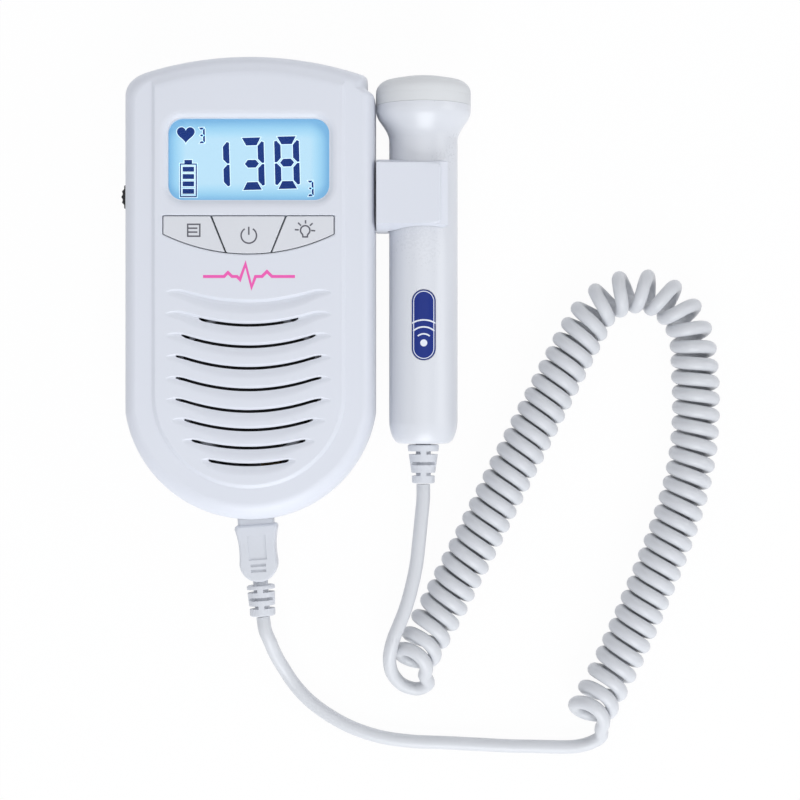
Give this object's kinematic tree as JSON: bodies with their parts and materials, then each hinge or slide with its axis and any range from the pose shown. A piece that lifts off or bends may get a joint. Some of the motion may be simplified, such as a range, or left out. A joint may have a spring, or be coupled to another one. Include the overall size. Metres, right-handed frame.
{
  "type": "fetal doppler monitor",
  "caption": "Hand-held fetal heartbeat monitor with a display, keys, a louvred speaker, a probe clipped on its side and a curly cord between them.",
  "frame": {"origin": "centre of the base of the bounding box of the monitor with its clipped probe, without the cord", "axes": "+X from the case towards the probe, +Y towards the top end of the case and the probe's face, +Z out of the display"},
  "size_m": [0.1758, 0.2056, 0.03],
  "materials": {
    "shell_white": "satin",
    "probe_white": "satin",
    "cap_grey": "matte",
    "window_clear": "clear, glossy",
    "lcd_blue": "satin",
    "backlight_white": "satin",
    "key_white": "satin",
    "black_plastic": "matte",
    "board_green": "satin",
    "chip_black": "matte",
    "steel": "bright",
    "brass": "bright",
    "magnet_grey": "plated",
    "paper_black": "matte",
    "label_blue": "satin",
    "ceramic": "matte",
    "foam_grey": "matte",
    "cell_wrap": "glossy",
    "cord_white": "satin",
    "ribbon_tan": "satin"
  },
  "bodies": {
    "case": {"front_case": "shell_white", "rear_case": "shell_white", "case_screw_1": "steel", "case_screw_2": "steel", "case_screw_3": "steel", "case_screw_4": "steel", "display_lens": "window_clear", "lcd_panel": "lcd_blue", "lcd_backlight": "backlight_white", "switch_menu": "black_plastic", "switch_power": "black_plastic", "switch_light": "black_plastic", "main_board": "board_green", "main_chip": "chip_black", "audio_chip": "chip_black", "volume_pot": "black_plastic", "speaker_cloth": "paper_black", "speaker_frame": "black_plastic", "speaker_cone": "paper_black", "speaker_magnet": "magnet_grey", "battery_1": "cell_wrap", "battery_2": "cell_wrap", "contact_spring_1": "steel", "contact_spring_2": "steel", "contact_plate": "steel", "usb_socket": "steel", "socket_board": "board_green", "socket_ribbon": "ribbon_tan", "probe_holder": "shell_white", "cord_coil": "cord_white", "cord_probe_lead": "cord_white"},
    "battery_door": {"battery_door": "shell_white"},
    "volume_wheel": {"volume_wheel": "black_plastic"},
    "menu_key": {"key_menu": "key_white", "plunger_menu": "brass"},
    "power_key": {"key_power": "key_white", "plunger_power": "brass"},
    "light_key": {"key_light": "key_white", "plunger_light": "brass"},
    "probe": {"probe_body": "probe_white", "probe_label": "label_blue", "probe_cap": "cap_grey", "acoustic_window": "cap_grey", "crystal_left": "ceramic", "crystal_right": "ceramic", "crystal_backing": "foam_grey", "probe_board": "board_green", "probe_strain_relief": "cord_white"},
    "plug": {"plug_shell": "steel", "plug_boot": "cord_white", "plug_strain_relief": "cord_white", "cord_plug_lead": "cord_white"}
  },
  "joints": [
    {"name": "menu_key_press", "type": "slide", "parent": "case", "child": "menu_key", "axis": [0, 0, -1], "range_m": [0, 0.0008], "stiffness_N_per_m": 300},
    {"name": "power_key_press", "type": "slide", "parent": "case", "child": "power_key", "axis": [0, 0, -1], "range_m": [0, 0.0008], "stiffness_N_per_m": 300},
    {"name": "light_key_press", "type": "slide", "parent": "case", "child": "light_key", "axis": [0, 0, -1], "range_m": [0, 0.0008], "stiffness_N_per_m": 300},
    {"name": "volume_turn", "type": "hinge", "parent": "case", "child": "volume_wheel", "pos_m": [-0.04498, 0.0266, 0.015], "axis": [0, 0, 1], "range_deg": [-140, 140]},
    {"name": "battery_door_slide", "type": "slide", "parent": "case", "child": "battery_door", "axis": [0, 1, 0], "range_m": [0, 0.06]},
    {"name": "probe_slide", "type": "slide", "parent": "case", "child": "probe", "axis": [0, 1, 0], "range_m": [0, 0.083]},
    {"name": "plug_pull", "type": "slide", "parent": "case", "child": "plug", "axis": [0, -1, 0], "range_m": [0, 0.008]}
  ]
}
